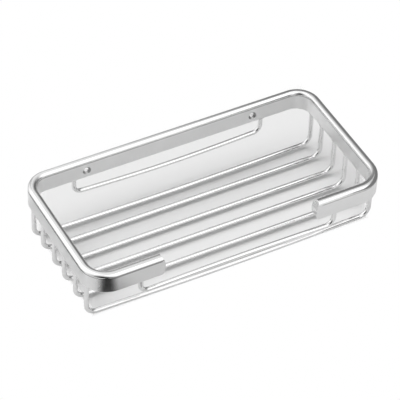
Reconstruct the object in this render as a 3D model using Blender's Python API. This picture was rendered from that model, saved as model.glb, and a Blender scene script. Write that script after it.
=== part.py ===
"""Soap holder: a chromed wire basket that hangs in a bent flat rail.

Lengths are in metres. X runs along the width, Y towards the wall behind the rail and Z up. The origin is
under the middle of the basket, on the surface that the floor wires rest on.
"""

from math import cos, pi, radians, sin, sqrt

import bmesh
import bpy
from mathutils import Matrix, Vector

# Overall sizes, measured over the rail
WIDTH = 0.240
DEPTH = 0.120
HEIGHT = 0.049

# Rail: a flat bar on edge, with flat sides and a half round top, bent to a rounded rectangle
RAIL_THICKNESS = 0.0060
RAIL_HEIGHT = 0.0162
RAIL_EDGE_RADIUS = 0.0006
BACK_CORNER_RADIUS = 0.0182
FRONT_CORNER_RADIUS = 0.0210

# The rail is open at the front: how far its two ends stop left and right of the middle, and their shape
LEFT_END_REACH = 0.0622
RIGHT_END_REACH = 0.0600
END_BULGE = 0.0024
END_EDGE_RADIUS = 0.0005

# Countersunk screw holes through the back of the rail
LEFT_HOLE_REACH = 0.0684
RIGHT_HOLE_REACH = 0.0698
HOLE_ABOVE_RAIL_BOTTOM = 0.0062
HOLE_DIAMETER = 0.0036
COUNTERSINK_DIAMETER = 0.0066

# Wires: round rod, each bent to a wide U whose two legs end under the rail
WIRE_DIAMETER = 0.0036
LEG_INWARD_OFFSET = 0.0008
JOINT_CLEARANCE = 0.0003

# Floor wires, from the rearmost to the frontmost
FLOOR_WIRE_COUNT = 6
REAR_WIRE_INSET = 0.0159
FRONT_WIRE_INSET = 0.0165
FLOOR_BEND_RADIUS = 0.0080
OUTER_WIRE_BOW = 0.0015
FLOOR_WIRE_OFFSET_SHARES = (0.0, 0.10, 0.02, 0.07, 0.02, 0.0)

# Loops below the rail at the back and at the front, which keep the soap in
BACK_LOOP_WIDTH = 0.1564
BACK_LOOP_DROP = 0.0135
BACK_LOOP_SAG = 0.0021
FRONT_LOOP_WIDTH = 0.1574
FRONT_LOOP_SHIFT = 0.0012
FRONT_LOOP_DROP = 0.0135
FRONT_LOOP_RISE = 0.0009
LOOP_BEND_RADIUS = 0.0068
BEND_LIMIT_SHARE = 0.8

# Fineness of the round shapes, and how far a cutter runs past what it cuts
CROWN_STEPS = 14
EDGE_STEPS = 3
CORNER_STEPS = 16
END_STEPS = 12
BEND_STEPS = 10
RUN_STEPS = 12
HOLE_SIDES = 32
WIRE_BEVEL_RESOLUTION = 6
CUT_OVERRUN = 0.0020
WELD_DISTANCE = 0.00001

# Places worked out from the sizes above
RAIL_BOTTOM = HEIGHT - RAIL_HEIGHT
RAIL_HALF = RAIL_THICKNESS / 2
WIRE_TOP = RAIL_BOTTOM - JOINT_CLEARANCE
WIRE_RADIUS = WIRE_DIAMETER / 2
LEG_INSET = RAIL_HALF + LEG_INWARD_OFFSET

CHROME_COLOUR = (0.80, 0.80, 0.81)
RAIL_ROUGHNESS = 0.10
WIRE_ROUGHNESS = 0.07


def clear_scene():
    """Removes every object, so that the model starts in an empty file."""
    for thing in list(bpy.data.objects):
        bpy.data.objects.remove(thing, do_unlink=True)


def chrome(name, roughness):
    """Polished chrome plating for one piece."""
    material = bpy.data.materials.new(name)
    material.use_nodes = True
    shader = material.node_tree.nodes["Principled BSDF"]
    shader.inputs["Base Color"].default_value = (*CHROME_COLOUR, 1)
    shader.inputs["Metallic"].default_value = 1
    shader.inputs["Roughness"].default_value = roughness
    return material


def link(name, data):
    """Puts a mesh or a curve into the scene as an object."""
    thing = bpy.data.objects.new(name, data)
    bpy.context.scene.collection.objects.link(thing)
    return thing


def arc(centre, radius, start, end, steps):
    """Points of an arc in a plane, with both ends, from angle start to angle end."""
    angles = [start + (end - start) * i / steps for i in range(steps + 1)]
    return [(centre[0] + radius * cos(a), centre[1] + radius * sin(a)) for a in angles]


def rail_section():
    """Outline of the rail's cross-section as (distance inward from the outer face, height)."""
    inner_edge = RAIL_THICKNESS - RAIL_EDGE_RADIUS
    edge_height = RAIL_BOTTOM + RAIL_EDGE_RADIUS
    outline = arc((RAIL_EDGE_RADIUS, edge_height), RAIL_EDGE_RADIUS, 1.5 * pi, pi, EDGE_STEPS)
    outline += arc((RAIL_HALF, HEIGHT - RAIL_HALF), RAIL_HALF, pi, 0, CROWN_STEPS)
    outline += arc((inner_edge, edge_height), RAIL_EDGE_RADIUS, 0, -pi / 2, EDGE_STEPS)
    return outline


def extrude_loop(bm, edges, offset):
    """Extrudes a loop of edges along a straight run and returns the new loop."""
    made = bmesh.ops.extrude_edge_only(bm, edges=edges)["geom"]
    verts = [part for part in made if isinstance(part, bmesh.types.BMVert)]
    bmesh.ops.translate(bm, verts=verts, vec=offset)
    fresh = set(verts)
    return [part for part in made if isinstance(part, bmesh.types.BMEdge) and fresh.issuperset(part.verts)]


def spin_loop(bm, edges, centre):
    """Turns a loop of edges a quarter turn clockwise, seen from above, and returns the new loop."""
    verts = list({vert for edge in edges for vert in edge.verts})
    made = bmesh.ops.spin(bm, geom=verts + edges, cent=centre, axis=(0, 0, 1), angle=-pi / 2, steps=CORNER_STEPS)
    return [part for part in made["geom_last"] if isinstance(part, bmesh.types.BMEdge)]


def rail_mesh():
    """The rail's bar as a closed rounded rectangle, swept from the middle of the front round to it again."""
    bm = bmesh.new()
    start = Vector((0, -DEPTH / 2, 0))
    verts = [bm.verts.new(start + Vector((0, inward, height))) for inward, height in rail_section()]
    loop = [bm.edges.new(pair) for pair in zip(verts, verts[1:] + verts[:1])]
    corners = (
        (-1, -1, FRONT_CORNER_RADIUS),
        (-1, 1, BACK_CORNER_RADIUS),
        (1, 1, BACK_CORNER_RADIUS),
        (1, -1, FRONT_CORNER_RADIUS),
    )
    outward = Vector((0, -1, 0))
    place = start
    for side_x, side_y, radius in corners:
        centre = Vector((side_x * (WIDTH / 2 - radius), side_y * (DEPTH / 2 - radius), 0))
        loop = extrude_loop(bm, loop, centre + outward * radius - place)
        loop = spin_loop(bm, loop, centre)
        outward = Matrix.Rotation(-pi / 2, 3, "Z") @ outward
        place = centre + outward * radius
    extrude_loop(bm, loop, start - place)
    bmesh.ops.remove_doubles(bm, verts=bm.verts, dist=WELD_DISTANCE)
    bmesh.ops.recalc_face_normals(bm, faces=bm.faces)
    mesh = bpy.data.meshes.new("rail")
    bm.to_mesh(mesh)
    bm.free()
    mesh.shade_smooth()
    mesh.set_sharp_from_angle(angle=radians(35))
    return mesh


def cutter(name, bm):
    """A closed shape that only cuts, left out of the finished part."""
    bmesh.ops.recalc_face_normals(bm, faces=bm.faces)
    mesh = bpy.data.meshes.new(name)
    bm.to_mesh(mesh)
    bm.free()
    thing = link(name, mesh)
    thing.hide_render = True
    thing.display_type = "WIRE"
    return thing


def end_curve(reach, side):
    """Outline of one rail end seen from the front: an arc that stands out most at half height."""
    half = RAIL_HEIGHT / 2
    radius = (half**2 + END_BULGE**2) / (2 * END_BULGE)
    steps = [half * (2 * i / END_STEPS - 1) for i in range(END_STEPS + 1)]
    curve = [(side * (reach + radius - sqrt(radius**2 - step**2)), HEIGHT - half + step) for step in steps]
    foot = (curve[0][0], RAIL_BOTTOM - CUT_OVERRUN)
    head = (curve[-1][0], HEIGHT + CUT_OVERRUN)
    return [foot] + curve + [head]


def front_gap():
    """Cutter for the rail's open front: a block with hollow sides, which leave both ends rounded outward."""
    outline = end_curve(RIGHT_END_REACH, 1) + end_curve(LEFT_END_REACH, -1)[::-1]
    bm = bmesh.new()
    face = bm.faces.new([bm.verts.new((x, -DEPTH / 2 - CUT_OVERRUN, z)) for x, z in outline])
    made = bmesh.ops.extrude_face_region(bm, geom=[face])["geom"]
    verts = [part for part in made if isinstance(part, bmesh.types.BMVert)]
    bmesh.ops.translate(bm, verts=verts, vec=(0, RAIL_THICKNESS + 2 * CUT_OVERRUN, 0))
    return cutter("front_gap", bm)


def screw_hole(name, x):
    """Cutter for one screw hole, turned round its axis, with the countersink on the basket's side."""
    sink = COUNTERSINK_DIAMETER / 2
    bore = HOLE_DIAMETER / 2
    inner_face = DEPTH / 2 - RAIL_THICKNESS
    outer_face = DEPTH / 2
    profile = (
        (0, inner_face - CUT_OVERRUN),
        (sink, inner_face - CUT_OVERRUN),
        (sink, inner_face),
        (bore, inner_face + sink - bore),
        (bore, outer_face + CUT_OVERRUN),
        (0, outer_face + CUT_OVERRUN),
    )
    height = RAIL_BOTTOM + HOLE_ABOVE_RAIL_BOTTOM
    bm = bmesh.new()
    verts = [bm.verts.new((x + radius, y, height)) for radius, y in profile]
    edges = [bm.edges.new(pair) for pair in zip(verts, verts[1:])]
    bmesh.ops.spin(
        bm, geom=verts + edges, cent=(x, 0, height), axis=(0, 1, 0), angle=2 * pi, steps=HOLE_SIDES
    )
    bmesh.ops.remove_doubles(bm, verts=bm.verts, dist=WELD_DISTANCE)
    return cutter(name, bm)


def cut(thing, tool):
    """Takes the shape of a cutter out of an object."""
    boolean = thing.modifiers.new(tool.name, "BOOLEAN")
    boolean.operation = "DIFFERENCE"
    boolean.solver = "EXACT"
    boolean.object = tool


def make_rail():
    """The rail, with its open front, its softened ends and its two screw holes."""
    rail = link("rail", rail_mesh())
    cut(rail, front_gap())
    soften = rail.modifiers.new("end_edges", "BEVEL")
    soften.width = END_EDGE_RADIUS
    soften.segments = 2
    soften.limit_method = "ANGLE"
    soften.angle_limit = radians(60)
    cut(rail, screw_hole("left_screw_hole", -LEFT_HOLE_REACH))
    cut(rail, screw_hole("right_screw_hole", RIGHT_HOLE_REACH))
    rail.data.materials.append(chrome("rail_chrome", RAIL_ROUGHNESS))


def u_path(width, drop, bend_radius, rise):
    """A wide U as (across, up from the legs' top, share of the bow), with rounded bends.

    The run stands up by rise at its middle, or hangs by it where rise is negative.
    """
    bend = min(bend_radius, drop * BEND_LIMIT_SHARE)
    half = width / 2
    left = arc((bend - half, bend - drop), bend, pi, 1.5 * pi, BEND_STEPS)
    right = arc((half - bend, bend - drop), bend, -pi / 2, 0, BEND_STEPS)
    path = [(-half, 0, 0)] + [(across, up, 0) for across, up in left]
    for i in range(1, RUN_STEPS):
        share = sin(pi * i / RUN_STEPS)
        path.append(((half - bend) * (2 * i / RUN_STEPS - 1), rise * share - drop, share))
    path += [(across, up, 0) for across, up in right] + [(half, 0, 0)]
    return path


def make_wire(name, points):
    """One bent wire along the given points, round and closed at both ends."""
    curve = bpy.data.curves.new(name, "CURVE")
    curve.dimensions = "3D"
    curve.bevel_depth = WIRE_RADIUS
    curve.bevel_resolution = WIRE_BEVEL_RESOLUTION
    curve.use_fill_caps = True
    spline = curve.splines.new("POLY")
    spline.points.add(len(points) - 1)
    for point, place in zip(spline.points, points):
        point.co = (*place, 1)
    spline.use_smooth = True
    wire = link(name, curve)
    curve.materials.append(chrome(name + "_chrome", WIRE_ROUGHNESS))
    return wire


def leg_reach(y):
    """How far left and right of the middle a floor wire's legs stand, kept under the rail at its corners."""
    radius = BACK_CORNER_RADIUS if y > 0 else FRONT_CORNER_RADIUS
    into_corner = max(0, abs(y) - (DEPTH / 2 - radius))
    outer_face = WIDTH / 2 - radius + sqrt(radius**2 - into_corner**2)
    return min(WIDTH / 2 - LEG_INSET, outer_face - RAIL_EDGE_RADIUS - WIRE_RADIUS)


def make_floor_wires():
    """The floor wires, evenly spaced but for small offsets, the first and last bowed to the front."""
    rear = DEPTH / 2 - REAR_WIRE_INSET
    front = FRONT_WIRE_INSET - DEPTH / 2
    pitch = (rear - front) / (FLOOR_WIRE_COUNT - 1)
    drop = WIRE_TOP - WIRE_RADIUS
    for i in range(FLOOR_WIRE_COUNT):
        y = rear - i * pitch + FLOOR_WIRE_OFFSET_SHARES[i % len(FLOOR_WIRE_OFFSET_SHARES)] * pitch
        bow = OUTER_WIRE_BOW if i in (0, FLOOR_WIRE_COUNT - 1) else 0
        path = u_path(2 * leg_reach(y), drop, FLOOR_BEND_RADIUS, 0)
        points = [(across, y - bow * share, WIRE_TOP + up) for across, up, share in path]
        make_wire(f"floor_wire_{i + 1}", points)


def make_loop(name, y, shift, width, drop, rise):
    """One loop that hangs under the back or the front of the rail."""
    path = u_path(width, drop - JOINT_CLEARANCE, LOOP_BEND_RADIUS, rise)
    make_wire(name, [(shift + across, y, WIRE_TOP + up) for across, up, share in path])


def main():
    clear_scene()
    make_rail()
    make_floor_wires()
    loop_place = DEPTH / 2 - LEG_INSET
    make_loop("back_loop", loop_place, 0, BACK_LOOP_WIDTH, BACK_LOOP_DROP, -BACK_LOOP_SAG)
    make_loop("front_loop", -loop_place, -FRONT_LOOP_SHIFT, FRONT_LOOP_WIDTH, FRONT_LOOP_DROP, FRONT_LOOP_RISE)


main()
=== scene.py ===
from math import cos, pi, radians, sin, sqrt

import bmesh
import bpy
from mathutils import Matrix, Vector


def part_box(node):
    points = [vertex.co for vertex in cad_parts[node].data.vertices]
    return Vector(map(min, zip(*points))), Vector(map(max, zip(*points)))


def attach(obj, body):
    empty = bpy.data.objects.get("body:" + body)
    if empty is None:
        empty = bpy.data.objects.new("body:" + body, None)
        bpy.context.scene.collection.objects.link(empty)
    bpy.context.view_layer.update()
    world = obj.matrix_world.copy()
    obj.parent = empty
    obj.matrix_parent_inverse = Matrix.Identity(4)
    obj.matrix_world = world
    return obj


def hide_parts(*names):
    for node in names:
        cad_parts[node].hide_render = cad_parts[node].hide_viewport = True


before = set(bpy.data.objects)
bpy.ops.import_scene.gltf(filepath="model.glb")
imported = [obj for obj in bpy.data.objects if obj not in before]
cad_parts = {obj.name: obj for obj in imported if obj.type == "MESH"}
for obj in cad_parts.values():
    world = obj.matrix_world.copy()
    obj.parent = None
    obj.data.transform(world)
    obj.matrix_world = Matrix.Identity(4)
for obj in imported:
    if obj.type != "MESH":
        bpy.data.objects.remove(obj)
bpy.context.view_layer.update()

# Lengths are in metres and angles in degrees, but for those that a comment names

# The rail's bar, its two corner radii and its two front ends
RAIL_THICKNESS = 0.0060
RAIL_EDGE_RADIUS = 0.0006
BACK_CORNER_RADIUS = 0.0182
FRONT_CORNER_RADIUS = 0.0210
LEFT_END_REACH = 0.0622
RIGHT_END_REACH = 0.0600
END_BULGE = 0.0024
END_EDGE_RADIUS = 0.0005

# How much thicker than that the bar is on its inner side, at the left and at the front
LEFT_SWELL = 0.0011
FRONT_SWELL = 0.0014

# The screw holes
LEFT_HOLE_REACH = 0.0684
RIGHT_HOLE_REACH = 0.0698
HOLE_ABOVE_RAIL_BOTTOM = 0.0062
HOLE_DIAMETER = 0.0036
COUNTERSINK_DIAMETER = 0.0066

# The wires. A loop's run stands up at its middle by its rise, or sags there where that is negative
FLOOR_WIRES = 6
WIRE_RADIUS = 0.0018
FLOOR_BEND_RADIUS = 0.0080
LOOP_BEND_RADIUS = 0.0068
LOOP_RISES = {"back_loop": -0.0021, "front_loop": 0.0009}
SOLDER_WIDTH = 0.0007
SOLDER_HEIGHT = 0.0011

# How many faces the round shapes have along their curves
CROWN_STEPS = 40
EDGE_STEPS = 6
CORNER_STEPS = 48
END_STEPS = 28
END_EDGE_STEPS = 5
HOLE_SIDES = 64
WIRE_SIDES = 40
BEND_STEPS = 28
RUN_STEPS = 48
SOLDER_STEPS = 6

# The angle from which the edges of the rail's ends are rounded, and those from which edges are shaded sharp
END_EDGE_ANGLE = 60
RAIL_SHARP_ANGLE = 30
WIRE_SHARP_ANGLE = 50

# How far a cutter runs past what it cuts, and how close points are that are joined
CUT_OVERRUN = 0.0020
WELD_DISTANCE = 0.00001

# The rail's place, from the frame
rail_low, rail_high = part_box("rail")
WIDTH = rail_high.x - rail_low.x
DEPTH = rail_high.y - rail_low.y
HEIGHT = rail_high.z
RAIL_BOTTOM = rail_low.z
RAIL_HEIGHT = HEIGHT - RAIL_BOTTOM

# The photograph's camera, for a square picture; its lens and its sensor are in millimetres
CAMERA_PLACE = (-0.6111, -1.0778, 1.2081)
CAMERA_RIGHT = (0.88392, -0.46672, 0.0292)
CAMERA_UP = (0.30363, 0.62029, 0.72322)
CAMERA_LENS = 210.66
SENSOR_WIDTH = 36

# Roughness of the rail's flat sides, of those at the front, of the round top and of the wires
FLAT_ROUGHNESS = 0.35
FRONT_ROUGHNESS = 0.22
CROWN_ROUGHNESS = 0.14
WIRE_ROUGHNESS = 0.06

# Noise in the metal as scale and detail: in its tone, its roughness and its height. Then by what share the
# first two vary from their means, how high the waves are, and the range that most of a noise lies in
TONE_NOISE = (35, 3)
GLOSS_NOISE = (140, 4)
WAVE_NOISE = (90, 2)
TONE_VARIATION = 0.02
GLOSS_VARIATION = 0.20
WAVINESS = 0.00001
NOISE_RANGE = (0.3, 0.7)

# The depth over which the rail's satin sides turn into its better polished front, and the height over which
# they turn into its polished top. Then the painted shade, a dark line where the round top meets the sides:
# its half width, and how much of the light it sends back
FRONT_FADE = 0.0060
POLISH_FADE = 0.0012
PAINTED_LINE_HALF_WIDTH = 0.0006
PAINTED_LINE_SHARE = 0.45

# Painted shade: how much of the light the innermost part of the round top sends back at the left and the
# front left
PAINTED_INNER_SHARE = 0.65

# Painted shade in the countersinks and a painted highlight in the bores: how much of the light they send
# back, beside the rail's sides, and how far that change stays clear of the rail's two faces
COUNTERSINK_SHADE_SHARE = 0.50
BORE_HIGHLIGHT_SHARE = 1.25
HOLE_MARGIN = 0.0001

# Tones as linear brightness: the metal, the floor, the even light on everything, and the soft light that is
# added to it from one side, as azimuth, elevation, reach and brightness
CHROME_GREY = 0.80
FLOOR_GREY = 0.80
ROOM_LIGHT = 0.48
SIDE_LIGHT = (122, 62, 45, 2.40)
WHITE = (1, 1, 1, 1)

# The floor, and how far it lies below the wires
FLOOR_SIZE = 6.0
FLOOR_DROP = 0.0012

# Where the camera stops seeing the floor, and where the metal stops reflecting it: a level direction for each
# side, and the distances along it at which the floor starts to fade and has gone
SEEN_EDGES = {
    "left": ((-1, 0, 0), 0.107, 0.113),
    "right": ((1, 0, 0), 0.134, 0.148),
    "front": ((0, -1, 0), 0.040, 0.046),
    "back": ((0, 1, 0), 0.090, 0.112),
    "front_right": ((0.870, -0.494, 0), 0.118, 0.124),
    "back_left": ((-0.870, 0.494, 0), 0.118, 0.126),
}
REFLECTED_EDGES = {
    "left": ((-1, 0, 0), 0.26, 0.36),
    "right": ((1, 0, 0), 0.30, 0.40),
    "front": ((0, -1, 0), 0.45, 0.55),
    "back": ((0, 1, 0), 0.26, 0.36),
}

# The studio that the metal reflects: its brightness at the height of the basket and overhead, and the
# elevations from which it brightens and is full
LEVEL_BRIGHTNESS = 0.45
OVERHEAD_BRIGHTNESS = 1.00
CEILING_START = 35
CEILING_FULL = 70

# What stands in the studio: azimuth and elevation of its middle, the angle from there at which it ends, and
# the brightness it adds
STUDIO_PATCHES = {
    "white_wall_left": (150, 30, 65, 0.88),
    "soft_light_front": (-67, 38, 50, 0.95),
    "dark_beside_camera": (-118, 5, 42, -0.50),
}

# Cards round the basket, which only the metal reflects: their corners, the direction in which their
# brightness changes, and two distances along it, each with the brightness there. Those that lie flat are
# lifted alike, but for the strip, which lies over two others
CARD_LIFT = 0.0005
UPPER_CARD_LIFT = 2 * CARD_LIFT
CARDS = {
    "dark_card_front_left": (
        (
            (-0.113, -0.080, CARD_LIFT),
            (-0.140, -0.068, CARD_LIFT),
            (-0.165, -0.040, CARD_LIFT),
            (-0.400, -0.300, CARD_LIFT),
            (-0.218, -0.340, CARD_LIFT),
        ),
        (-0.927, 0.375, 0),
        (0.086, 0.02),
        (0.120, 0.80),
    ),
    "dark_card_front_right": (
        (
            (-0.113, -0.080, CARD_LIFT),
            (-0.218, -0.340, CARD_LIFT),
            (0.050, -0.340, CARD_LIFT),
            (0.050, -0.080, CARD_LIFT),
        ),
        (0.927, -0.375, 0),
        (-0.068, 0.02),
        (-0.025, 0.66),
    ),
    "dark_strip_front": (
        (
            (-0.110, -0.125, UPPER_CARD_LIFT),
            (0.050, -0.125, UPPER_CARD_LIFT),
            (0.050, -0.400, UPPER_CARD_LIFT),
            (-0.150, -0.400, UPPER_CARD_LIFT),
        ),
        (0, -1, 0),
        (0.125, 0.60),
        (0.160, 0.15),
    ),
    "white_card_front": (
        (
            (0.060, -0.800, CARD_LIFT),
            (0.600, -0.800, CARD_LIFT),
            (0.600, -0.180, CARD_LIFT),
            (0.060, -0.180, CARD_LIFT),
        ),
        (1, 0, 0),
        (0.06, 0.90),
        (0.20, 1.00),
    ),
    "grey_card_left": (
        (
            (-0.240, -0.020, CARD_LIFT),
            (-0.152, -0.020, CARD_LIFT),
            (-0.152, 0.150, CARD_LIFT),
            (-0.240, 0.150, CARD_LIFT),
        ),
        (1, 0, 0),
        (-0.185, 0.02),
        (-0.152, 0.65),
    ),
    "white_card_back": (
        (
            (-0.170, 0.085, CARD_LIFT),
            (0.010, 0.085, CARD_LIFT),
            (0.010, 0.250, CARD_LIFT),
            (-0.170, 0.250, CARD_LIFT),
        ),
        (1, 0, 0),
        (-0.17, 1.05),
        (0.01, 1.00),
    ),
    "dark_card_right": (
        (
            (0.175, -0.250, CARD_LIFT),
            (0.175, 0.350, CARD_LIFT),
            (0.175, 0.350, 0.110),
            (0.175, -0.250, 0.110),
        ),
        (1, 0, 0),
        (0, 0.22),
        (1, 0.22),
    ),
    "board_above": (
        (
            (-0.060, 0.100, 0.250),
            (0.600, 0.100, 0.250),
            (0.600, 0.700, 0.250),
            (-0.060, 0.700, 0.250),
        ),
        (1, 0, 0),
        (-0.04, 1.00),
        (0.26, 0.22),
    ),
}


# Objects and meshes


def link(name, data):
    """Puts a mesh or a camera into the scene as an object."""
    thing = bpy.data.objects.new(name, data)
    bpy.context.scene.collection.objects.link(thing)
    return thing


def to_mesh(name, bm):
    """Turns a finished bmesh into a mesh whose faces point out."""
    bmesh.ops.recalc_face_normals(bm, faces=bm.faces)
    mesh = bpy.data.meshes.new(name)
    bm.to_mesh(mesh)
    bm.free()
    return mesh


def smooth(mesh, angle):
    """Shades a mesh smooth but for edges sharper than the angle."""
    mesh.shade_smooth()
    mesh.set_sharp_from_angle(angle=radians(angle))


def apply_modifiers(thing):
    """Replaces an object's mesh by what its modifiers make of it."""
    evaluated = thing.evaluated_get(bpy.context.evaluated_depsgraph_get())
    mesh = bpy.data.meshes.new_from_object(evaluated)
    thing.modifiers.clear()
    thing.data = mesh


def cut(thing, mesh):
    """Takes the shape of a mesh out of an object, for good."""
    tool = link("cutter", mesh)
    boolean = thing.modifiers.new("cut", "BOOLEAN")
    boolean.operation = "DIFFERENCE"
    boolean.solver = "EXACT"
    boolean.object = tool
    apply_modifiers(thing)
    bpy.data.objects.remove(tool)


def arc(centre, radius, start, end, steps):
    """Points of an arc in a plane, with both ends, between two angles in radians."""
    angles = [start + (end - start) * i / steps for i in range(steps + 1)]
    return [(centre[0] + radius * cos(a), centre[1] + radius * sin(a)) for a in angles]


# The rail


def rail_section():
    """Outline of the rail's cross-section as (distance inward from the outer face, height)."""
    inner_edge = RAIL_THICKNESS - RAIL_EDGE_RADIUS
    edge_height = RAIL_BOTTOM + RAIL_EDGE_RADIUS
    half = RAIL_THICKNESS / 2
    outline = arc((RAIL_EDGE_RADIUS, edge_height), RAIL_EDGE_RADIUS, 1.5 * pi, pi, EDGE_STEPS)
    outline += arc((half, HEIGHT - half), half, pi, 0, CROWN_STEPS)
    outline += arc((inner_edge, edge_height), RAIL_EDGE_RADIUS, 0, -pi / 2, EDGE_STEPS)
    return outline


def extrude_loop(bm, edges, offset):
    """Extrudes a loop of edges along a straight run and returns the new loop."""
    made = bmesh.ops.extrude_edge_only(bm, edges=edges)["geom"]
    verts = [part for part in made if isinstance(part, bmesh.types.BMVert)]
    bmesh.ops.translate(bm, verts=verts, vec=offset)
    fresh = set(verts)
    return [part for part in made if isinstance(part, bmesh.types.BMEdge) and fresh.issuperset(part.verts)]


def spin_loop(bm, edges, centre):
    """Turns a loop of edges a quarter turn clockwise, seen from above, and returns the new loop."""
    verts = list({vert for edge in edges for vert in edge.verts})
    made = bmesh.ops.spin(
        bm, geom=verts + edges, cent=centre, axis=(0, 0, 1), angle=-pi / 2, steps=CORNER_STEPS
    )
    return [part for part in made["geom_last"] if isinstance(part, bmesh.types.BMEdge)]


def swell_inward(vert):
    """Thickens the rail at the left and the front: moves a point of its inner half inward, and the most at
    its inner face."""
    radius = FRONT_CORNER_RADIUS if vert.co.y < 0 else BACK_CORNER_RADIUS
    reach_x = WIDTH / 2 - radius
    reach_y = DEPTH / 2 - radius
    core_x = max(-reach_x, min(reach_x, vert.co.x))
    core_y = max(-reach_y, min(reach_y, vert.co.y))
    away = vert.co - Vector((core_x, core_y, vert.co.z))
    outward = away.normalized()
    share = max(0, 2 * (radius - away.length) / RAIL_THICKNESS - 1)
    swell = LEFT_SWELL * max(0, -outward.x) ** 2 + FRONT_SWELL * max(0, -outward.y) ** 2
    vert.co -= outward * swell * share


def rail_ring():
    """The rail's bar as a closed rounded rectangle, swept from the middle of the front round to it again."""
    bm = bmesh.new()
    start = Vector((0, -DEPTH / 2, 0))
    verts = [bm.verts.new(start + Vector((0, inward, height))) for inward, height in rail_section()]
    loop = [bm.edges.new(pair) for pair in zip(verts, verts[1:] + verts[:1])]
    corners = (
        (-1, -1, FRONT_CORNER_RADIUS),
        (-1, 1, BACK_CORNER_RADIUS),
        (1, 1, BACK_CORNER_RADIUS),
        (1, -1, FRONT_CORNER_RADIUS),
    )
    outward = Vector((0, -1, 0))
    place = start
    for side_x, side_y, radius in corners:
        centre = Vector((side_x * (WIDTH / 2 - radius), side_y * (DEPTH / 2 - radius), 0))
        loop = extrude_loop(bm, loop, centre + outward * radius - place)
        loop = spin_loop(bm, loop, centre)
        outward = Matrix.Rotation(-pi / 2, 3, "Z") @ outward
        place = centre + outward * radius
    extrude_loop(bm, loop, start - place)
    bmesh.ops.remove_doubles(bm, verts=bm.verts, dist=WELD_DISTANCE)
    for vert in bm.verts:
        swell_inward(vert)
    return to_mesh("rail_bar", bm)


def end_curve(reach, side):
    """Outline of one rail end seen from the front: an arc that stands out most at half height."""
    half = RAIL_HEIGHT / 2
    radius = (half**2 + END_BULGE**2) / (2 * END_BULGE)
    steps = [half * (2 * i / END_STEPS - 1) for i in range(END_STEPS + 1)]
    curve = [(side * (reach + radius - sqrt(radius**2 - step**2)), HEIGHT - half + step) for step in steps]
    foot = (curve[0][0], RAIL_BOTTOM - CUT_OVERRUN)
    head = (curve[-1][0], HEIGHT + CUT_OVERRUN)
    return [foot] + curve + [head]


def front_gap():
    """Shape of the rail's open front: a block with hollow sides, which leave both ends rounded outward."""
    outline = end_curve(RIGHT_END_REACH, 1) + end_curve(LEFT_END_REACH, -1)[::-1]
    bm = bmesh.new()
    face = bm.faces.new([bm.verts.new((x, -DEPTH / 2 - CUT_OVERRUN, z)) for x, z in outline])
    made = bmesh.ops.extrude_face_region(bm, geom=[face])["geom"]
    verts = [part for part in made if isinstance(part, bmesh.types.BMVert)]
    bmesh.ops.translate(bm, verts=verts, vec=(0, RAIL_THICKNESS + 2 * CUT_OVERRUN, 0))
    return to_mesh("front_gap", bm)


def screw_hole(x):
    """Shape of one screw hole, turned round its axis, with the countersink on the basket's side."""
    sink = COUNTERSINK_DIAMETER / 2
    bore = HOLE_DIAMETER / 2
    inner_face = DEPTH / 2 - RAIL_THICKNESS
    outer_face = DEPTH / 2
    profile = (
        (0, inner_face - CUT_OVERRUN),
        (sink, inner_face - CUT_OVERRUN),
        (sink, inner_face),
        (bore, inner_face + sink - bore),
        (bore, outer_face + CUT_OVERRUN),
        (0, outer_face + CUT_OVERRUN),
    )
    height = RAIL_BOTTOM + HOLE_ABOVE_RAIL_BOTTOM
    bm = bmesh.new()
    verts = [bm.verts.new((x + radius, y, height)) for radius, y in profile]
    edges = [bm.edges.new(pair) for pair in zip(verts, verts[1:])]
    bmesh.ops.spin(
        bm, geom=verts + edges, cent=(x, 0, height), axis=(0, 1, 0), angle=2 * pi, steps=HOLE_SIDES
    )
    bmesh.ops.remove_doubles(bm, verts=bm.verts, dist=WELD_DISTANCE)
    return to_mesh("screw_hole", bm)


def make_rail(material):
    """The rail, with its open front, its softened ends and its two screw holes."""
    rail = link("rail_bar", rail_ring())
    cut(rail, front_gap())
    soften = rail.modifiers.new("end_edges", "BEVEL")
    soften.width = END_EDGE_RADIUS
    soften.segments = END_EDGE_STEPS
    soften.limit_method = "ANGLE"
    soften.angle_limit = radians(END_EDGE_ANGLE)
    apply_modifiers(rail)
    cut(rail, screw_hole(-LEFT_HOLE_REACH))
    cut(rail, screw_hole(RIGHT_HOLE_REACH))
    smooth(rail.data, RAIL_SHARP_ANGLE)
    rail.modifiers.new("even_shading", "WEIGHTED_NORMAL").keep_sharp = True
    rail.data.materials.append(material)
    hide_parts("rail")
    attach(rail, "root")


# The wires


def u_path(width, drop, bend, rise):
    """A wide U as (across, up from the legs' top, share of the bow), with rounded bends.

    The run stands up by rise at its middle, or sags by it where rise is negative.
    """
    half = width / 2
    left = arc((bend - half, bend - drop), bend, pi, 1.5 * pi, BEND_STEPS)
    right = arc((half - bend, bend - drop), bend, -pi / 2, 0, BEND_STEPS)
    path = [(-half, 0, 0)] + [(across, up, 0) for across, up in left]
    for i in range(1, RUN_STEPS):
        share = sin(pi * i / RUN_STEPS)
        path.append(((half - bend) * (2 * i / RUN_STEPS - 1), rise * share - drop, share))
    path += [(across, up, 0) for across, up in right] + [(half, 0, 0)]
    return path


def add_tube(bm, points):
    """A round tube along points, closed at both ends."""
    places = [Vector(point) for point in points]
    aims = [(b - a).normalized() for a, b in zip(places[:1] + places[:-1], places[1:] + places[-1:])]
    turns = [2 * pi * i / WIRE_SIDES for i in range(WIRE_SIDES)]
    side = Vector((0, 1, 0))
    rings = []
    for place, aim in zip(places, aims):
        side = (side - aim * side.dot(aim)).normalized()
        other = aim.cross(side)
        rings.append([bm.verts.new(place + WIRE_RADIUS * (side * cos(t) + other * sin(t))) for t in turns])
    for ring, following in zip(rings, rings[1:]):
        for i in range(WIRE_SIDES):
            j = (i + 1) % WIRE_SIDES
            bm.faces.new((ring[i], ring[j], following[j], following[i]))
    bm.faces.new(rings[0])
    bm.faces.new(rings[-1][::-1])


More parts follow.
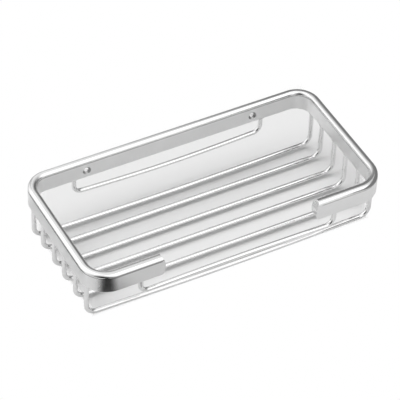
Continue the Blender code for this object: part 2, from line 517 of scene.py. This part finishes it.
def add_solder(bm, place):
    """The hollow fillet of solder where a leg meets the rail, turned round the leg."""
    outer = WIRE_RADIUS + SOLDER_WIDTH
    core = WIRE_RADIUS / 2
    profile = [(core, 0)]
    for i in range(SOLDER_STEPS + 1):
        angle = pi / 2 * i / SOLDER_STEPS
        profile.append((outer - SOLDER_WIDTH * sin(angle), -SOLDER_HEIGHT * (1 - cos(angle))))
    profile.append((core, -SOLDER_HEIGHT))
    verts = [bm.verts.new(place + Vector((radius, 0, up))) for radius, up in profile]
    edges = [bm.edges.new(pair) for pair in zip(verts, verts[1:] + verts[:1])]
    made = bmesh.ops.spin(
        bm, geom=verts + edges, cent=place, axis=(0, 0, 1), angle=2 * pi, steps=WIRE_SIDES
    )
    ends = {part for part in made["geom_last"] if isinstance(part, bmesh.types.BMVert)}
    bmesh.ops.remove_doubles(bm, verts=list(ends) + verts, dist=WELD_DISTANCE)


def make_wire(node, bend, rise, material):
    """One bent wire in the place of its node, with solder at the top of both legs."""
    low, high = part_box(node)
    middle = (low.x + high.x) / 2
    y = high.y - WIRE_RADIUS
    bow = high.y - low.y - 2 * WIRE_RADIUS
    width = high.x - low.x - 2 * WIRE_RADIUS
    drop = RAIL_BOTTOM - (low.z + WIRE_RADIUS - min(rise, 0))
    path = u_path(width, drop, bend, rise)
    bm = bmesh.new()
    add_tube(bm, [(middle + across, y - bow * share, RAIL_BOTTOM + up) for across, up, share in path])
    for side in (-1, 1):
        add_solder(bm, Vector((middle + side * width / 2, y, RAIL_BOTTOM)))
    mesh = to_mesh(node + "_rod", bm)
    smooth(mesh, WIRE_SHARP_ANGLE)
    wire = link(node + "_rod", mesh)
    mesh.materials.append(material)
    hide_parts(node)
    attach(wire, "root")


# Shader nodes


def new_material(name):
    """A material with its node tree."""
    material = bpy.data.materials.new(name)
    material.use_nodes = True
    return material, material.node_tree


def add_node(tree, kind, **settings):
    """Adds a shader node with the given settings."""
    made = tree.nodes.new(kind)
    for name, value in settings.items():
        setattr(made, name, value)
    return made


def feed(tree, value, socket):
    """Feeds a socket with another socket or with a fixed value."""
    if isinstance(value, bpy.types.NodeSocket):
        tree.links.new(value, socket)
    else:
        socket.default_value = value


def combine(tree, operation, *values):
    """Combines values by a Math node."""
    maths = add_node(tree, "ShaderNodeMath", operation=operation)
    for socket, value in zip(maths.inputs, values):
        feed(tree, value, socket)
    return maths.outputs["Value"]


def vector_step(tree, operation, vector, other=(0, 0, 0)):
    """One step of vector arithmetic. It gives a number for a length or a dot product, or else a vector."""
    maths = add_node(tree, "ShaderNodeVectorMath", operation=operation)
    feed(tree, vector, maths.inputs[0])
    feed(tree, other, maths.inputs[1])
    return maths.outputs["Value" if operation in ("LENGTH", "DOT_PRODUCT") else "Vector"]


def ramp(tree, value, start, end, low, high, shape="SMOOTHSTEP"):
    """Maps a value from low at start to high at end, and holds it beyond both."""
    scaled = add_node(tree, "ShaderNodeMapRange", interpolation_type=shape)
    for name, number in (("From Min", start), ("From Max", end), ("To Min", low), ("To Max", high)):
        scaled.inputs[name].default_value = number
    tree.links.new(value, scaled.inputs["Value"])
    return scaled.outputs["Result"]


def coordinates(tree):
    """Where a point is, in the object's own coordinates, which are the frame's."""
    return add_node(tree, "ShaderNodeTexCoord").outputs["Object"]


def axes(tree, vector):
    """The three parts of a vector, by X, Y and Z."""
    parted = add_node(tree, "ShaderNodeSeparateXYZ")
    tree.links.new(vector, parted.inputs["Vector"])
    return parted.outputs


def noise(tree, place, scale, detail):
    """A noise texture."""
    texture = add_node(tree, "ShaderNodeTexNoise")
    texture.inputs["Scale"].default_value = scale
    texture.inputs["Detail"].default_value = detail
    tree.links.new(place, texture.inputs["Vector"])
    return texture.outputs["Fac"]


def vary(tree, pattern, mean, variation):
    """A value that varies round its mean by a share of it, with a noise texture."""
    low, high = NOISE_RANGE
    return ramp(tree, pattern, low, high, mean * (1 - variation), mean * (1 + variation), "LINEAR")


def mix_into(tree, output, share, first, second):
    """Sends two shaders to the output: the first where the share is 0, and the second where it is 1."""
    mixed = add_node(tree, "ShaderNodeMixShader")
    tree.links.new(share, mixed.inputs["Fac"])
    tree.links.new(first, mixed.inputs[1])
    tree.links.new(second, mixed.inputs[2])
    tree.links.new(mixed.outputs["Shader"], tree.nodes[output].inputs["Surface"])


def ray_kinds(tree):
    """Whether a ray comes from the camera, and whether it comes from a reflection or through glass."""
    rays = add_node(tree, "ShaderNodeLightPath").outputs
    return rays["Is Camera Ray"], combine(tree, "MAXIMUM", rays["Is Glossy Ray"], rays["Is Transmission Ray"])


# Finishes


def chrome(name, roughness):
    """Polished chrome plating: faint clouds in tone and gloss, and a slight waviness from polishing."""
    material, tree = new_material(name)
    shader = tree.nodes["Principled BSDF"]
    shader.inputs["Metallic"].default_value = 1
    place = coordinates(tree)
    tone = vary(tree, noise(tree, place, *TONE_NOISE), CHROME_GREY, TONE_VARIATION)
    gloss = vary(tree, noise(tree, place, *GLOSS_NOISE), roughness, GLOSS_VARIATION)
    tree.links.new(tone, shader.inputs["Base Color"])
    tree.links.new(gloss, shader.inputs["Roughness"])

    waves = add_node(tree, "ShaderNodeBump")
    waves.inputs["Strength"].default_value = 1
    waves.inputs["Distance"].default_value = WAVINESS
    tree.links.new(noise(tree, place, *WAVE_NOISE), waves.inputs["Height"])
    tree.links.new(waves.outputs["Normal"], shader.inputs["Normal"])
    return material


def polish_share(tree, place, above):
    """Roughness of the rail beside that of its flat sides: less on the front and on the round top."""
    front = RAIL_THICKNESS / 2 - DEPTH / 2
    side = ramp(tree, place["Y"], front, front + FRONT_FADE, FRONT_ROUGHNESS / FLAT_ROUGHNESS, 1)
    top = ramp(tree, above, 0, POLISH_FADE, 0, 1)
    change = combine(tree, "SUBTRACT", CROWN_ROUGHNESS / FLAT_ROUGHNESS, side)
    return combine(tree, "ADD", side, combine(tree, "MULTIPLY", top, change))


def painted_line_share(tree, place, above):
    """Share of light that the rail sends back, with painted shade: less along the line where the round top
    meets the flat sides, but not on the front's two ends."""
    past_end = combine(
        tree, "SUBTRACT", combine(tree, "ABSOLUTE", place["X"]), LEFT_END_REACH + END_BULGE
    )
    behind_front = combine(tree, "ADD", place["Y"], DEPTH / 2 - 2 * RAIL_THICKNESS)
    on_side = combine(tree, "GREATER_THAN", combine(tree, "MAXIMUM", past_end, behind_front), 0)
    # painted shade: the base colour is darker along this line
    line = ramp(tree, combine(tree, "ABSOLUTE", above), 0, PAINTED_LINE_HALF_WIDTH, 1 - PAINTED_LINE_SHARE, 0)
    return combine(tree, "SUBTRACT", 1, combine(tree, "MULTIPLY", line, on_side))


def painted_inner_shade(tree, place, across, above):
    """Share of light that the rail sends back, with painted shade: less on the inner half of the round top,
    at the left and the front left."""
    level = vector_step(tree, "MULTIPLY", place, (1, 1, 0))
    low = (FRONT_CORNER_RADIUS - WIDTH / 2, FRONT_CORNER_RADIUS - DEPTH / 2, 0)
    high = (WIDTH / 2 - BACK_CORNER_RADIUS, DEPTH / 2 - BACK_CORNER_RADIUS, 0)
    core = vector_step(tree, "MAXIMUM", vector_step(tree, "MINIMUM", level, high), low)
    away = vector_step(tree, "SUBTRACT", level, core)
    inward = combine(tree, "SUBTRACT", FRONT_CORNER_RADIUS, vector_step(tree, "LENGTH", away))
    near = vector_step(tree, "MINIMUM", vector_step(tree, "NORMALIZE", away), (0, 0, 0))
    nearness = vector_step(tree, "LENGTH", near)
    # painted shade on the inner half of the round top
    lost = ramp(tree, inward, RAIL_THICKNESS / 2, RAIL_THICKNESS, 0, 1 - PAINTED_INNER_SHARE)
    on_left = combine(tree, "LESS_THAN", across, 0)
    on_top = ramp(tree, above, -PAINTED_LINE_HALF_WIDTH, 0, 0, 1)
    for share in (nearness, nearness, on_left, on_top):
        lost = combine(tree, "MULTIPLY", lost, share)
    return combine(tree, "SUBTRACT", 1, lost)


def painted_hole_light(tree, place):
    """What is added to the share of light that the rail sends back: painted shade in a countersink, a painted
    highlight in a bore, and nothing elsewhere."""
    depth = combine(tree, "SUBTRACT", place["Y"], DEPTH / 2 - RAIL_THICKNESS / 2)
    up = combine(tree, "SUBTRACT", place["Z"], RAIL_BOTTOM + HOLE_ABOVE_RAIL_BOTTOM)
    bore_start = (COUNTERSINK_DIAMETER - HOLE_DIAMETER) / 2 - RAIL_THICKNESS / 2
    # painted shade in the countersink and painted highlight in the bore
    change = ramp(
        tree, depth, bore_start, bore_start + HOLE_MARGIN, COUNTERSINK_SHADE_SHARE - 1, BORE_HIGHLIGHT_SHARE - 1
    )
    limits = (
        (depth, RAIL_THICKNESS / 2 - HOLE_MARGIN),
        (place["X"], WIDTH / 2 - BACK_CORNER_RADIUS),
        (up, COUNTERSINK_DIAMETER / 2),
    )
    for distance, limit in limits:
        within = combine(tree, "LESS_THAN", combine(tree, "ABSOLUTE", distance), limit)
        change = combine(tree, "MULTIPLY", change, within)
    return change


def rail_finish():
    """Chrome that is satin on the rail's flat sides and polished on its front and its round top, with painted
    shade along the line where the top meets the sides, on the inner half of the top at the left and the front
    left and in the countersinks, and a painted highlight in the bores."""
    material = chrome("rail_chrome", FLAT_ROUGHNESS)
    tree = material.node_tree
    shader = tree.nodes["Principled BSDF"]
    gloss = shader.inputs["Roughness"].links[0].from_socket
    tone = shader.inputs["Base Color"].links[0].from_socket
    whole = coordinates(tree)
    place = axes(tree, whole)
    above = combine(tree, "SUBTRACT", place["Z"], HEIGHT - RAIL_THICKNESS / 2)

    polish = polish_share(tree, place, above)
    tree.links.new(combine(tree, "MULTIPLY", gloss, polish), shader.inputs["Roughness"])

    inner = painted_inner_shade(tree, whole, place["X"], above)
    # painted shade and painted highlight, multiplied into the metal's tone
    painted_share = combine(tree, "MULTIPLY", painted_line_share(tree, place, above), inner)
    painted_share = combine(tree, "ADD", painted_share, painted_hole_light(tree, place))
    tree.links.new(combine(tree, "MULTIPLY", tone, painted_share), shader.inputs["Base Color"])
    return material


# Floor, light and camera


def outside_share(tree, edges):
    """Runs from 0 within all the edges to 1 beyond any of them."""
    place = coordinates(tree)
    share = 0
    for side, start, end in edges.values():
        reach = vector_step(tree, "DOT_PRODUCT", place, side)
        share = combine(tree, "MAXIMUM", share, ramp(tree, reach, start, end, 0, 1))
    return share


def make_floor():
    """A wide pale floor. Beyond the basket the camera sees the white backdrop instead of it, and further out
    the metal reflects the studio instead of it."""
    bm = bmesh.new()
    bmesh.ops.create_grid(bm, x_segments=1, y_segments=1, size=FLOOR_SIZE / 2)
    bmesh.ops.translate(bm, verts=bm.verts, vec=(0, 0, -FLOOR_DROP))
    floor = link("floor", to_mesh("floor", bm))

    material, tree = new_material("floor")
    paint = tree.nodes["Principled BSDF"]
    paint.inputs["Base Color"].default_value = (FLOOR_GREY, FLOOR_GREY, FLOOR_GREY, 1)
    paint.inputs["Roughness"].default_value = 1
    paint.inputs["Specular IOR Level"].default_value = 0
    floor.data.materials.append(material)

    seen, reflected = ray_kinds(tree)
    seen_part = combine(tree, "MULTIPLY", seen, outside_share(tree, SEEN_EDGES))
    reflected_part = combine(tree, "MULTIPLY", reflected, outside_share(tree, REFLECTED_EDGES))
    missing = combine(tree, "ADD", seen_part, reflected_part)
    clear = add_node(tree, "ShaderNodeBsdfTransparent")
    mix_into(tree, "Material Output", missing, paint.outputs["BSDF"], clear.outputs["BSDF"])


def direction(azimuth, elevation):
    """The unit vector that points to an azimuth and an elevation."""
    level = cos(radians(elevation))
    return (level * cos(radians(azimuth)), level * sin(radians(azimuth)), sin(radians(elevation)))


def patch(tree, toward, azimuth, elevation, reach, gain):
    """A soft round patch of brightness round one direction."""
    nearness = vector_step(tree, "DOT_PRODUCT", toward, direction(azimuth, elevation))
    return ramp(tree, nearness, cos(radians(reach)), 1, 0, gain)


def studio_brightness(tree, toward):
    """Brightness of the studio by direction."""
    low, high = sin(radians(CEILING_START)), sin(radians(CEILING_FULL))
    height = axes(tree, toward)["Z"]
    brightness = ramp(tree, height, low, high, LEVEL_BRIGHTNESS, OVERHEAD_BRIGHTNESS)
    for placed in STUDIO_PATCHES.values():
        brightness = combine(tree, "ADD", brightness, patch(tree, toward, *placed))
    return combine(tree, "MAXIMUM", brightness, 0)


def make_room():
    """The light on everything, and the studio behind it: white to the camera, and graded in reflections."""
    world = bpy.data.worlds.new("room")
    bpy.context.scene.world = world
    world.use_nodes = True
    tree = world.node_tree
    toward = add_node(tree, "ShaderNodeTexCoord").outputs["Generated"]

    light = tree.nodes["Background"]
    light.inputs["Color"].default_value = WHITE
    strength = combine(tree, "ADD", ROOM_LIGHT, patch(tree, toward, *SIDE_LIGHT))
    tree.links.new(strength, light.inputs["Strength"])

    seen, reflected = ray_kinds(tree)
    backdrop = add_node(tree, "ShaderNodeBackground")
    backdrop.inputs["Color"].default_value = WHITE
    graded = combine(tree, "MULTIPLY", reflected, studio_brightness(tree, toward))
    tree.links.new(combine(tree, "ADD", graded, seen), backdrop.inputs["Strength"])

    shown = combine(tree, "MAXIMUM", reflected, seen)
    mix_into(tree, "World Output", shown, light.outputs["Background"], backdrop.outputs["Background"])


def make_card(name, corners, along, start, end):
    """A card seen only in reflections, with its brightness graded along one direction."""
    bm = bmesh.new()
    bm.faces.new([bm.verts.new(corner) for corner in corners])
    card = link(name, to_mesh(name, bm))
    card.visible_camera = False
    card.visible_diffuse = False
    card.visible_shadow = False

    material, tree = new_material(name)
    distance = vector_step(tree, "DOT_PRODUCT", coordinates(tree), along)
    glow = add_node(tree, "ShaderNodeEmission")
    tree.links.new(ramp(tree, distance, start[0], end[0], start[1], end[1]), glow.inputs["Strength"])
    tree.links.new(glow.outputs["Emission"], tree.nodes["Material Output"].inputs["Surface"])
    card.data.materials.append(material)


def make_camera():
    """The camera, where the photograph was taken from."""
    data = bpy.data.cameras.new("camera")
    data.lens = CAMERA_LENS
    data.sensor_width = SENSOR_WIDTH
    camera = link("camera", data)
    right = Vector(CAMERA_RIGHT)
    up = Vector(CAMERA_UP)
    placed = Matrix((right, up, right.cross(up))).transposed().to_4x4()
    placed.translation = CAMERA_PLACE
    camera.matrix_world = placed
    bpy.context.scene.camera = camera


make_rail(rail_finish())
wire_chrome = chrome("wire_chrome", WIRE_ROUGHNESS)
for number in range(1, FLOOR_WIRES + 1):
    make_wire(f"floor_wire_{number}", FLOOR_BEND_RADIUS, 0, wire_chrome)
for name, rise in LOOP_RISES.items():
    make_wire(name, LOOP_BEND_RADIUS, rise, wire_chrome)

make_floor()
make_room()
for name, (corners, along, start, end) in CARDS.items():
    make_card(name, corners, along, start, end)
make_camera()
bpy.context.scene.view_settings.view_transform = "Standard"
